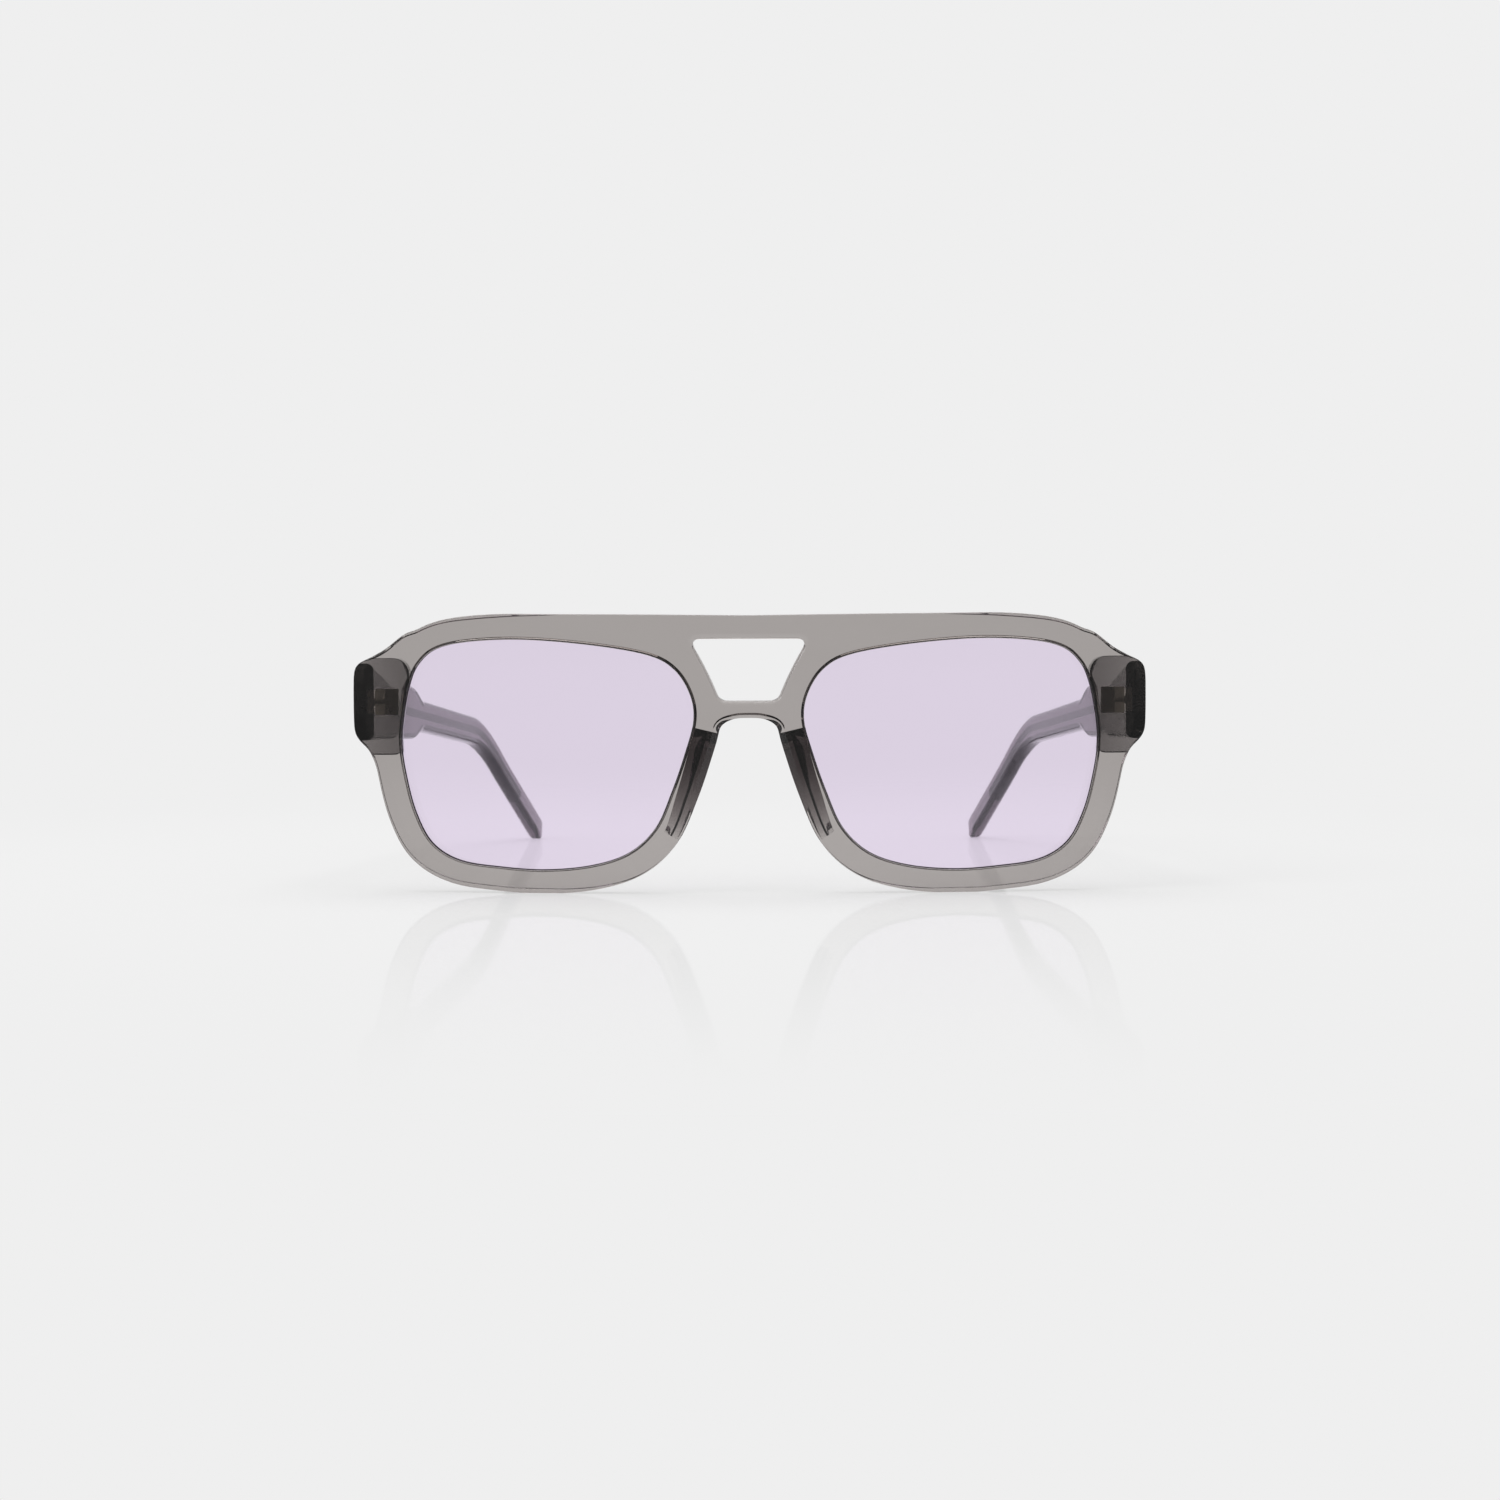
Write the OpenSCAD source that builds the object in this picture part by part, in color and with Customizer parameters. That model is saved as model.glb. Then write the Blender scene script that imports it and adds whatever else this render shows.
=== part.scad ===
// Square sunglasses: a wrapped acetate front with a brow bar and a lower bridge, two tinted
// lenses, bonded end blocks and nose pads, and two temples that fold on screwed hinges.
// Millimetres. +Z is up, the front faces -Y, and the wearer's left is +X.
// The origin lies on the surface that the glasses stand on, below the middle of their box.

/* [Lenses] */
// Width of one lens opening
lens_w = 53.6; // [50:0.1:56]
// Height of one lens opening
lens_h = 41.8; // [38:0.1:46]
// Distance between the two lens openings at their closest
lens_gap = 19.9; // [18:0.1:22]
// Thickness of a lens
lens_t = 2; // [1.6:0.1:2.4]
// How far a lens runs into its groove
groove_d = 0.8; // [0.5:0.1:1.2]
// From the face of the front back to the face of a lens
lens_setback = 1.2; // [0.8:0.1:1.6]

/* [Front] */
// Width over the end pieces
front_w = 145.2; // [144.5:0.1:152]
// Thickness of the front
front_t = 4.6; // [4.2:0.1:5.4]
// Radius of the curve that the front is bent to
base_r = 330; // [250:5:500]
// Width of a rim below the lens
rim_w = 4.3; // [3.6:0.1:4.8]
// Width of a rim beside the nose
rim_nose_w = 4.9; // [4.6:0.1:5.4]
// Width of a rim on the temple side
rim_side_w = 5.2; // [4.8:0.1:5.8]
// Width of a rim above the lens
rim_brow_w = 4.7; // [4.2:0.1:5.4]
// Depth of the flats that the rims and the tips stand on
foot_d = 0.1; // [0.05:0.01:0.2]

/* [Bridge] */
// Height of the brow bar over the window
brow_h = 4.3; // [3.6:0.1:5.2]
// How far the top edge dips from the rims to the middle
brow_dip = 0.4; // [0:0.1:1]
// Width of the window between the bars, at its top
window_top_w = 21.5; // [19:0.1:22.5]
// Width of the window at its bottom
window_foot_w = 10.4; // [9:0.1:11]
// How far each side of the window bows towards its middle
window_bow = 0.6; // [0.2:0.1:1]
// From the top edge down to the lower bridge
bridge_drop = 15.8; // [14.8:0.1:17]
// Height of the lower bridge
bridge_h = 3.1; // [2.6:0.1:3.6]

/* [End pieces] */
// From the top edge down to the top corner of an end piece
end_drop = 8.6; // [8:0.1:9.6]
// Height of an end piece
end_h = 14.9; // [13.8:0.1:15.6]
// Thickness of an end block at its outer end
block_t = 2.1; // [1.8:0.1:3]
// Width of an end block
block_w = 10.5; // [9.6:0.1:11.4]
// Height of an end block
block_h = 17.8; // [16.8:0.1:18.6]
// How far the middle of an end block lies below the hinge
block_low = 0.8; // [0.5:0.1:1.2]

/* [Nose pads] */
// Height of the bottom of a pad over the foot of the rims
pad_foot = 9.4; // [8:0.1:11]
// Height of the top of a pad over the foot of the rims
pad_top = 28.9; // [27:0.1:29.6]
// How far a pad stands out behind the front
pad_depth = 5.6; // [4:0.1:7]
// Width of a pad at its root
pad_w = 4.4; // [3.6:0.1:4.5]
// How far the pad's outer edge leans away from the nose
pad_splay = 1.6; // [0.8:0.1:2]

/* [Hinges] */
// Radius of a knuckle
knuckle_r = 1.25; // [1.15:0.05:1.4]
// Height of one of the three knuckles
knuckle_h = 1.6; // [1.4:0.05:1.9]
// From the temple's inner face to the hinge line
hinge_inset = 3.4; // [3:0.05:3.6]
// From the butt face back to the hinge line
hinge_back = 1.4; // [1.35:0.05:1.6]
// Radius of the screw's shank
screw_r = 0.7; // [0.6:0.05:0.8]
// Radius of the screw's head
head_r = 1; // [0.95:0.05:1.1]
// Height of the screw's head
head_h = 0.5; // [0.4:0.05:0.6]
// Width across the root and the prongs of the front leaf
prong_w = 4.3; // [4:0.1:4.8]
// How deep the prongs are sunk in the end block
prong_d = 2.6; // [2.2:0.1:3]
// Length of the leaf in the temple
leaf_l = 13; // [10:0.5:16]
// Height of the leaf in the temple
leaf_h = 4.2; // [3.8:0.1:4.8]
// Thickness of the leaf in the temple
leaf_t = 1.2; // [1:0.1:1.4]

/* [Temples] */
// Thickness of a temple
temple_t = 3.7; // [3.4:0.1:4.2]
// Thickness of a temple behind its bend
temple_drop_t = 3.2; // [2.9:0.1:3.6]
// Height of a temple at its hinge end
temple_butt_h = 14.3; // [13:0.1:15]
// Height of a temple just before its step
temple_step_h = 10.4; // [9.6:0.1:11.4]
// Height of a temple's arm just after its step
temple_arm_h = 6.1; // [5.8:0.1:6.8]
// Height of a temple at its tip
temple_tip_h = 5.7; // [5.2:0.1:6.4]
// Width of the bevels along a temple
temple_bevel = 0.9; // [0.6:0.1:1.1]
// From the butt face to the start of the step
step_at = 31; // [26:0.5:36]
// Length of the step
step_l = 9; // [6:0.5:12]
// From the butt face to the start of the bend
bend_at = 88; // [80:1:96]
// Length of the bend
bend_l = 22; // [14:0.5:26]
// Fall of the arm below the level, in degrees
arm_fall = 5.2; // [3:0.1:6]
// Fall of the end behind the bend, in degrees
drop_fall = 37.5; // [32:0.5:42]
// Lean of the arm towards the head, in degrees
arm_lean = 5.5; // [3:0.1:6]
// Lean of the end behind the bend, in degrees
drop_lean = 19.5; // [16:0.5:26]
// Length over which the tip is rounded
tip_round = 3; // [2:0.1:4]

/* [Core wires] */
// Thickness of a core wire
wire_t = 1.4; // [1.2:0.05:1.6]
// Height of a core wire
wire_h = 1.5; // [1.3:0.1:2.2]
// Length of temple beyond the end of its core wire
wire_stop = 13; // [9:0.5:16]

/* [Fits] */
// Gap in a bonded joint
bond_gap = 0.05; // [0.03:0.01:0.08]
// Gap round a lens in its groove, a leaf in its pocket and a wire in its temple
seat_gap = 0.1; // [0.06:0.01:0.12]
// Gap between a temple's end and its end block
butt_gap = 0.15; // [0.1:0.01:0.25]
// Gap between one knuckle and the next
knuckle_gap = 0.06; // [0.04:0.01:0.1]
// Radial gap of the screw in the temple's knuckle
pin_gap = 0.05; // [0.03:0.01:0.08]

/* [Hidden] */
ACETATE = [0.62, 0.6, 0.59];
DARK_ACETATE = [0.4, 0.38, 0.38];
LILAC = [0.84, 0.79, 0.87];
STEEL = [0.72, 0.71, 0.7];
LEFT = 1;
RIGHT = -1;
CURVE_FN = 720;
ROUND_FN = 48;
FAR = 60;

// Heights and places that the driving sizes set
lens_foot_z = rim_w - foot_d;
top_z = lens_foot_z + lens_h + rim_brow_w;
end_x = front_w / 2;
end_top_z = top_z - end_drop;
end_foot_z = end_top_z - end_h;
hinge_z = (end_top_z + end_foot_z) / 2;
lens_out_x = lens_gap / 2 + lens_w;
bridge_top_z = top_z - bridge_drop;
arch_z = bridge_top_z - bridge_h;
butt_y = back_y(end_x) + block_t;
hinge_x = end_x - temple_t - hinge_inset;
hinge_y = butt_y + hinge_back;
temple_y = butt_y + butt_gap;
temple_x = end_x - temple_t / 2;
grip_gap = 0.02;
arm_sink = 0.4;
block_r = 3;
wire_off = leaf_t + seat_gap + wire_t / 2 - temple_t / 2;
window_r = 0.7;
window_foot_r = 1.5;
window_bow_r = 60;
pad_inset = 0.35;
pad_peak = 0.2;
PAD_STEPS = 20;
// The temple leans over a longer run than its bend, from before it to behind it
lean_lead = 6;
lean_tail = 10;
// Height at the end of the bend, height where the tip starts to round, and its place on the arm
bend_z = hinge_z - bend_at * sin(arm_fall)
    - bend_l * (cos(arm_fall) - cos(drop_fall)) / (drop_fall - arm_fall) * 180 / PI;
tip_z = norm([tip_round * sin(drop_fall), temple_tip_h / 2 * cos(drop_fall)]) - foot_d;
tip_at = bend_at + bend_l + (bend_z - tip_z) / sin(drop_fall);

// Back surface of the front, and of anything laid d behind it, at a distance x from the middle
function back_y(x, d = 0) = base_r - sqrt(pow(base_r - front_t - d, 2) - x * x);

// Smooth curves through points
function spline(a, b, c, d, t) =
    b + (c - a) * t / 2 + (a * 2 - b * 5 + c * 4 - d) * t * t / 2
    + (b * 3 - a - c * 3 + d) * t * t * t / 2;
function smooth_loop(p, n) = [
    for (i = [0 : len(p) - 1], k = [0 : n - 1])
        spline(p[(i + len(p) - 1) % len(p)], p[i], p[(i + 1) % len(p)], p[(i + 2) % len(p)], k / n)
];
function smooth_line(p, n) = concat([
    for (i = [0 : len(p) - 2], k = [0 : n - 1])
        spline(p[max(i - 1, 0)], p[i], p[i + 1], p[min(i + 2, len(p) - 1)], k / n)
], [p[len(p) - 1]]);
function ease(t) = let (k = min(max(t, 0), 1)) k * k * (3 - 2 * k);
function mix(a, b, t) = a + (b - a) * t;
function unit(v) = v / norm(v);

// Corners of a polygon turned into arcs: each corner is [x, y, radius]
function round_corner(a, p, b, r, n = 6) =
    let (u = unit(a - p), v = unit(b - p), half = acos(u * v) / 2,
         c = p + unit(u + v) * r / sin(half), e = unit(u + v), q = 90 - half,
         side = cross(u, v) > 0 ? 1 : -1)
    [for (k = [0 : n])
        let (g = side * mix(q, -q, k / n))
        c - r * [e.x * cos(g) - e.y * sin(g), e.x * sin(g) + e.y * cos(g)]];
function round_corners(p) = [
    for (i = [0 : len(p) - 1])
        let (a = p[(i + len(p) - 1) % len(p)], b = p[(i + 1) % len(p)])
        each round_corner([a.x, a.y], [p[i].x, p[i].y], [b.x, b.y], p[i].z)
];

// Lens opening, clockwise from its top, in halves of its width and height from its middle;
// the first number runs from the nose side, -1, to the temple side, 1
LENS_FORM = [
    [0.16, 1], [0.535, 0.984], [0.757, 0.922], [0.88, 0.79], [0.943, 0.61], [0.983, 0.36],
    [1, 0.09], [0.97, -0.19], [0.903, -0.51], [0.79, -0.774], [0.6, -0.922], [0.316, -0.978],
    [0.01, -1], [-0.307, -0.96], [-0.559, -0.85], [-0.737, -0.636], [-0.847, -0.325],
    [-0.936, 0], [-0.998, 0.3], [-0.972, 0.53], [-0.867, 0.74], [-0.688, 0.863], [-0.307, 0.95]
];
lens_loop = [
    for (p = smooth_loop(LENS_FORM, 4))
        [lens_gap / 2 + (p.x + 1) * lens_w / 2, lens_foot_z + (p.y + 1) * lens_h / 2]
];
function outward(p, i) =
    let (t = p[(i + 1) % len(p)] - p[(i + len(p) - 1) % len(p)]) unit([-t.y, t.x]);
function grown(p, w) = [for (i = [0 : len(p) - 1]) p[i] + outward(p, i) * w];
rim_loop = [
    for (i = [0 : len(lens_loop) - 1])
        let (n = outward(lens_loop, i))
        lens_loop[i] + n * (rim_w + (rim_side_w - rim_w) * pow(max(n.x, 0), 2)
                            + (rim_brow_w - rim_w) * pow(max(n.y, 0), 2)
                            + (rim_nose_w - rim_w) * max(-n.x, 0))
];

// Outline of an end piece, from the rim out along its top, down its side and back to the rim
end_form = smooth_line([
    [lens_out_x - 4.2, top_z - 2.6], [lens_out_x - 1.1, top_z - 3.3], [lens_out_x + 1.2, top_z - 4.9],
    [end_x - 6.2, end_top_z + 2.4], [end_x - 3.5, end_top_z + 0.9], [end_x - 1.5, end_top_z],
    [end_x - 0.5, end_top_z - 0.8], [end_x - 0.1, end_top_z - 2.2],
    [end_x, hinge_z + 2], [end_x - 0.05, end_foot_z + 3.6], [end_x - 0.35, end_foot_z + 1.6],
    [end_x - 1.3, end_foot_z + 0.2], [end_x - 2.75, end_foot_z - 1.2], [end_x - 3.7, end_foot_z - 3],
    [end_x - 4.7, end_foot_z - 6], [lens_out_x + 3, end_foot_z - 10]
], 4);
// Underside of the bridge, from the rim on one side up to the middle
arch_form = smooth_line([
    [lens_gap / 2 - 1.2, arch_z - 8], [lens_gap / 2 - 3.5, arch_z - 4.3],
    [lens_gap / 2 - 4.4, arch_z - 2.2], [lens_gap / 2 - 5.3, arch_z - 1.1],
    [lens_gap / 2 - 6.7, arch_z - 0.35], [lens_gap / 10, arch_z - 0.05], [0, arch_z]
], 4);

module half_front_2d() {
    polygon(rim_loop);
    polygon(concat(end_form, [
        [lens_out_x - block_w, hinge_z - block_h / 2], [lens_out_x - block_w, hinge_z + block_h / 3]
    ]));
    polygon(concat(arch_form, [
        [0, top_z - brow_dip], [lens_gap / 2 + lens_w * 0.25, top_z - brow_dip * 0.35],
        [lens_gap / 2 + lens_w * 0.585, top_z],
        [lens_gap / 2 + lens_w * 0.585, hinge_z], [lens_gap / 2 + 1, arch_z]
    ]));
}

module window_2d() {
    w = window_top_w / 2;
    f = window_foot_w / 2;
    top = top_z - brow_h - brow_dip;
    middle = (top + bridge_top_z) / 2;
    waist = (w + f) / 2 - window_bow;
    polygon(round_corners([
        [-w, top, window_r], [w, top, window_r], [waist, middle, window_bow_r],
        [f, bridge_top_z, window_foot_r], [-f, bridge_top_z, window_foot_r],
        [-waist, middle, window_bow_r]
    ]));
}

// Outline of the front without its lens openings
module front_2d() {
    difference() {
        union() {
            half_front_2d();
            mirror([1, 0]) half_front_2d();
        }
        window_2d();
        translate([-FAR * 2, -FAR]) square([FAR * 4, FAR]);
    }
}

// A flat outline, drawn in X and Z, run back through the wrapped sheet from depth d0 to d1
module wrapped(d0, d1) {
    intersection() {
        translate([0, FAR - 20, 0]) rotate([90, 0, 0]) linear_extrude(FAR) children();
        translate([0, base_r, -1]) difference() {
            cylinder(h = top_z + 3, r = base_r - d0, $fn = CURVE_FN);
            translate([0, 0, -1]) cylinder(h = top_z + 5, r = base_r - d1, $fn = CURVE_FN);
        }
    }
}
// What lies behind the wrapped sheet, d clear of it
module behind_front(d) {
    intersection() {
        children();
        translate([0, base_r, -1]) cylinder(h = top_z + 3, r = base_r - front_t - d, $fn = CURVE_FN);
    }
}

// Places a piece drawn for the wearer's left on its own side, in the part's frame
module on_side(side) {
    translate([0, -mid_y, 0]) if (side == LEFT) children(); else mirror([1, 0, 0]) children();
}

module front() {
    color(ACETATE) translate([0, -mid_y, 0]) difference() {
        wrapped(0, front_t) difference() {
            front_2d();
            for (side = [LEFT, RIGHT]) scale([side, 1]) polygon(lens_loop);
        }
        wrapped(lens_setback - seat_gap, lens_setback + lens_t + seat_gap)
            for (side = [LEFT, RIGHT]) scale([side, 1]) polygon(grown(lens_loop, groove_d + seat_gap));
    }
}

module lens(side) {
    color(LILAC) on_side(side) wrapped(lens_setback, lens_setback + lens_t)
        polygon(grown(lens_loop, groove_d));
}

module end_block(side) {
    color(DARK_ACETATE) on_side(side) difference() {
        behind_front(bond_gap) translate([0, butt_y, 0]) rotate([90, 0, 0]) linear_extrude(butt_y)
            intersection() {
                difference() {
                    front_2d();
                    polygon(lens_loop);
                }
                translate([0, hinge_z - block_low]) polygon(round_corners([
                    [end_x - block_w, -block_h / 2, block_r], [end_x + block_r * 2, -block_h / 2, block_r],
                    [end_x + block_r * 2, block_h / 2, block_r], [end_x - block_w, block_h / 2, block_r]
                ]));
            }
        front_leaf_anchor(seat_gap);
    }
}

// Root of the front hinge leaf and the two prongs beside its knuckles, sunk in the end block;
// g widens them into their pocket
module front_leaf_anchor(g) {
    stack_h = knuckle_h * 3;
    slit = knuckle_h / 2;
    root_d = prong_d * 0.35;
    translate([hinge_x - knuckle_r - g, butt_y - prong_d - g, hinge_z - stack_h / 2 - g]) {
        translate([0, prong_d - root_d, 0]) cube([prong_w + 2 * g, root_d + 2 * g, stack_h + 2 * g]);
        for (z = [0, (stack_h + slit) / 2])
            translate([knuckle_r * 2, 0, z])
                cube([prong_w - knuckle_r * 2 + 2 * g, prong_d + 2 * g, (stack_h - slit) / 2 + 2 * g]);
    }
}

// One knuckle of height h from z0 up, with the arm that carries it from the butt face
module front_knuckle(z0, h) {
    translate([hinge_x, hinge_y, z0]) cylinder(h = h, r = knuckle_r, $fn = ROUND_FN);
    translate([hinge_x - knuckle_r, butt_y - arm_sink, z0])
        cube([knuckle_r * 2, hinge_back + arm_sink, h]);
}

module front_hinge(side) {
    color(STEEL) on_side(side) difference() {
        union() {
            front_leaf_anchor(0);
            front_knuckle(hinge_z + knuckle_h / 2, knuckle_h);
            front_knuckle(hinge_z - knuckle_h * 1.5, knuckle_h);
        }
        translate([hinge_x, hinge_y, hinge_z - knuckle_h * 2])
            cylinder(h = knuckle_h * 4, r = screw_r + grip_gap, $fn = ROUND_FN);
        translate([hinge_x, hinge_y, hinge_z + knuckle_h * 1.5 - head_h])
            cylinder(h = head_h * 2, r = head_r + pin_gap, $fn = ROUND_FN);
    }
}

module hinge_screw(side) {
    top = hinge_z + knuckle_h * 1.5;
    slot_w = head_r * 0.35;
    slot_d = head_h * 0.5;
    color(STEEL) on_side(side) difference() {
        union() {
            translate([hinge_x, hinge_y, hinge_z - knuckle_h * 1.5])
                cylinder(h = knuckle_h * 3, r = screw_r, $fn = ROUND_FN);
            translate([hinge_x, hinge_y, top - head_h + grip_gap])
                cylinder(h = head_h - grip_gap, r = head_r, $fn = ROUND_FN);
        }
        translate([hinge_x - slot_w / 2, hinge_y - head_r * 2, top - slot_d])
            cube([slot_w, head_r * 4, head_h]);
    }
}

// A solid skinned over rings of points that run along it
module loft(rings) {
    n = len(rings[0]);
    m = len(rings);
    polyhedron(
        points = [for (r = rings) each r],
        faces = concat(
            [[for (k = [n - 1 : -1 : 0]) k], [for (k = [0 : n - 1]) (m - 1) * n + k]],
            [for (j = [0 : m - 2], k = [0 : n - 1])
                let (a = j * n + k, b = j * n + (k + 1) % n)
                each [[a, b, b + n], [a, b + n, a + n]]]
        )
    );
}

// Nose side of the rim: how far out it is at a height
nose_edge = [
    for (i = [0 : len(rim_loop) - 1]) if (outward(rim_loop, i).x < -0.3) [rim_loop[i].y, rim_loop[i].x]
];
function pad_edge(t) = let (z = mix(pad_top, pad_foot, t)) [lookup(z, nose_edge), z];
// Depth of a pad along its length: a steep rounded top and a long fall to its foot
function pad_swell(t) =
    t < pad_peak ? mix(0.12, 1, sqrt(1 - pow(1 - t / pad_peak, 2)))
                 : 1 - 0.92 * pow((t - pad_peak) / (1 - pad_peak), 1.5);
function pad_ring(t) =
    let (e = pad_edge(t), along = unit(pad_edge(min(t + 0.03, 1)) - pad_edge(max(t - 0.03, 0))),
         in = [-along.y, along.x], d = pad_depth * pad_swell(t), w0 = pad_inset,
         w1 = mix(pad_w, pad_w * 0.7, t * t), lean = pad_splay * pad_swell(t),
         shape = [[w0, 0], [w1, 0], [w1, 0.5 * d], [w1 - 0.08, 0.85 * d], [w1 - 0.5, d],
                  [w0 + lean + 0.5, 0.98 * d], [w0 + lean, 0.85 * d], [w0 + lean * 0.5, 0.5 * d]])
    [for (q = shape) let (p = e + in * q.x) [p.x, back_y(p.x, bond_gap) + q.y, p.y]];

module nose_pad(side) {
    color(DARK_ACETATE) on_side(side) loft([for (k = [0 : PAD_STEPS]) pad_ring(k / PAD_STEPS)]);
}

// Direction of a temple's middle line at a distance s from its butt end
function fall(s) = mix(arm_fall, drop_fall, min(max((s - bend_at) / bend_l, 0), 1));
function lean(s) = mix(arm_lean, drop_lean, ease((s - bend_at + lean_lead) / (bend_l + lean_lead + lean_tail)));
function heading(s) = [-sin(lean(s)) * cos(fall(s)), cos(lean(s)) * cos(fall(s)), -sin(fall(s))];
// Height and thickness of a temple there, and how far its rounded tip is drawn in
function temple_h(s) =
    s < step_at ? mix(temple_butt_h, temple_step_h, s / step_at)
    : s < step_at + step_l ? mix(temple_step_h, temple_arm_h, ease((s - step_at) / step_l))
    : mix(temple_arm_h, temple_tip_h, min((s - step_at - step_l) / (tip_at - step_at - step_l), 1));
function temple_w(s) = mix(temple_t, temple_drop_t, ease((s - bend_at) / bend_l));
function tip_draw(s) = s < tip_at ? 1 : sqrt(1 - pow((s - tip_at) / tip_round, 2));

stations = concat(
    [for (k = [0 : 4]) step_at * k / 5], [for (k = [0 : 7]) step_at + step_l * k / 8],
    [for (k = [0 : 4]) mix(step_at + step_l, bend_at - lean_lead, k / 5)],
    [for (k = [0 : 11]) mix(bend_at - lean_lead, bend_at + bend_l + lean_tail, k / 12)],
    [for (k = [0 : 4]) mix(bend_at + bend_l + lean_tail, tip_at, k / 5)],
    [for (q = [0, 0.3, 0.55, 0.75, 0.88, 0.96]) tip_at + tip_round * q]
);
// Middle line of a temple: its points, one for each station
temple_path = [
    for (i = 0, p = [temple_x, temple_y, hinge_z]; i < len(stations);
         p = i + 1 < len(stations)
             ? p + heading((stations[i] + stations[i + 1]) / 2) * (stations[i + 1] - stations[i])
             : p,
         i = i + 1) p
];
// A section square to the middle line: points across and up from it
function across(s) = let (g = lean(s) - arm_lean) [cos(g), sin(g), 0];
function upward(s) = let (g = fall(s) - arm_fall) [0, sin(g), cos(g)];
function section(i, shape) = [
    for (q = shape) temple_path[i] + across(stations[i]) * q.x + upward(stations[i]) * q.y
];
function bar_shape(a, b, c) = [
    [a - c, -b], [a, c - b], [a, b - c], [a - c, b], [c - a, b], [-a, b - c], [-a, c - b], [c - a, -b]
];
temple_rings = [
    for (i = [0 : len(stations) - 1])
        let (s = stations[i], k = tip_draw(s))
        section(i, bar_shape(temple_w(s) / 2 * k, temple_h(s) / 2 * k, temple_bevel * k))
];
function wire_rings(g) = [
    for (i = [0 : len(stations) - 1])
        if (stations[i] < tip_at + tip_round - wire_stop)
            let (a = wire_t / 2 + g, b = wire_h / 2 + g)
            section(i, [[wire_off + a, -b], [wire_off + a, b], [wire_off - a, b], [wire_off - a, -b]])
];
// Half of the depth from the face of the front to the back of the tips
mid_y = max([for (r = temple_rings, p = r) p.y]) / 2;

module temple(side) {
    color(ACETATE) on_side(side) difference() {
        loft(temple_rings);
        loft(wire_rings(seat_gap));
        leaf_pocket();
        translate([0, -FAR, -FAR]) cube([FAR * 2, FAR * 4, FAR]);
    }
}

module core_wire(side) {
    color(STEEL) on_side(side) loft(wire_rings(0));
}

// What lies on a temple's inner face, drawn from its butt end: X into the temple, Y along it
module on_inner_face() {
    translate([end_x - temple_t, temple_y, hinge_z]) rotate([0, 0, arm_lean]) children();
}
module leaf_plate() {
    on_inner_face() translate([0, seat_gap, -leaf_h / 2]) cube([leaf_t, leaf_l, leaf_h]);
}
// The plate's pocket, open to the inner face and to the butt end
module leaf_pocket() {
    on_inner_face() translate([-leaf_t, -leaf_t, -leaf_h / 2 - seat_gap])
        cube([leaf_t * 2 + seat_gap, leaf_t + leaf_l + 2 * seat_gap, leaf_h + 2 * seat_gap]);
}

module temple_hinge(side) {
    h = knuckle_h - 2 * knuckle_gap;
    reach = hinge_inset + leaf_t / 2;
    arm_d = knuckle_r * 1.8;
    color(STEEL) on_side(side) difference() {
        union() {
            leaf_plate();
            translate([hinge_x, hinge_y, hinge_z - h / 2]) cylinder(h = h, r = knuckle_r, $fn = ROUND_FN);
            translate([hinge_x, hinge_y + knuckle_r - arm_d, hinge_z - h / 2]) cube([reach, arm_d, h]);
        }
        translate([hinge_x, hinge_y, hinge_z - knuckle_h])
            cylinder(h = knuckle_h * 2, r = screw_r + pin_gap, $fn = ROUND_FN);
    }
}

front();
lens(LEFT);  // lens_left
lens(RIGHT);  // lens_right
nose_pad(LEFT);  // nose_pad_left
nose_pad(RIGHT);  // nose_pad_right
end_block(LEFT);  // end_block_left
end_block(RIGHT);  // end_block_right
front_hinge(LEFT);  // front_hinge_left
front_hinge(RIGHT);  // front_hinge_right
hinge_screw(LEFT);  // hinge_screw_left
hinge_screw(RIGHT);  // hinge_screw_right
temple(LEFT);  // temple_left
temple(RIGHT);  // temple_right
temple_hinge(LEFT);  // temple_hinge_left
temple_hinge(RIGHT);  // temple_hinge_right
core_wire(LEFT);  // core_wire_left
core_wire(RIGHT);  // core_wire_right
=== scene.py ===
# Square sunglasses: a translucent grey acetate frame with a double bridge, and lilac lenses.
# Shapes are drawn in millimetres for the wearer's left: x to the left, z up, and y back from
# the middle of the front's face. Each mesh goes into the frame, in metres, when it is made.
import math

import bpy
import numpy as np
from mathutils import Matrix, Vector
from mathutils.geometry import delaunay_2d_cdt


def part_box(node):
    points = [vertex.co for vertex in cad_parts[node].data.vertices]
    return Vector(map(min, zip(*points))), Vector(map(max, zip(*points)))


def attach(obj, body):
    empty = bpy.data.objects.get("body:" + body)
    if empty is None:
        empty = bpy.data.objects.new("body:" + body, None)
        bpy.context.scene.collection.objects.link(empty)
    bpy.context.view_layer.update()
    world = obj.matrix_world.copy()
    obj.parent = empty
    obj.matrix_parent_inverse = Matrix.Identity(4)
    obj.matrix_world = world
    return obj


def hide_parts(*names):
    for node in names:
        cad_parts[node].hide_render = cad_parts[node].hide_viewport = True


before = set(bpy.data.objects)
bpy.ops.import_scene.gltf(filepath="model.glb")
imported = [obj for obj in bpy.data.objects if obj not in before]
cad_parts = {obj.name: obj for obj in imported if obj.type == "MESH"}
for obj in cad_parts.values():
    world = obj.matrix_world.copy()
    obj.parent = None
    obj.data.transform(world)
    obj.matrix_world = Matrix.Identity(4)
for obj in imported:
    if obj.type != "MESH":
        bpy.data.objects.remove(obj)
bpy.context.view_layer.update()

MM = 0.001
SIDES = {"left": 1, "right": -1}

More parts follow.
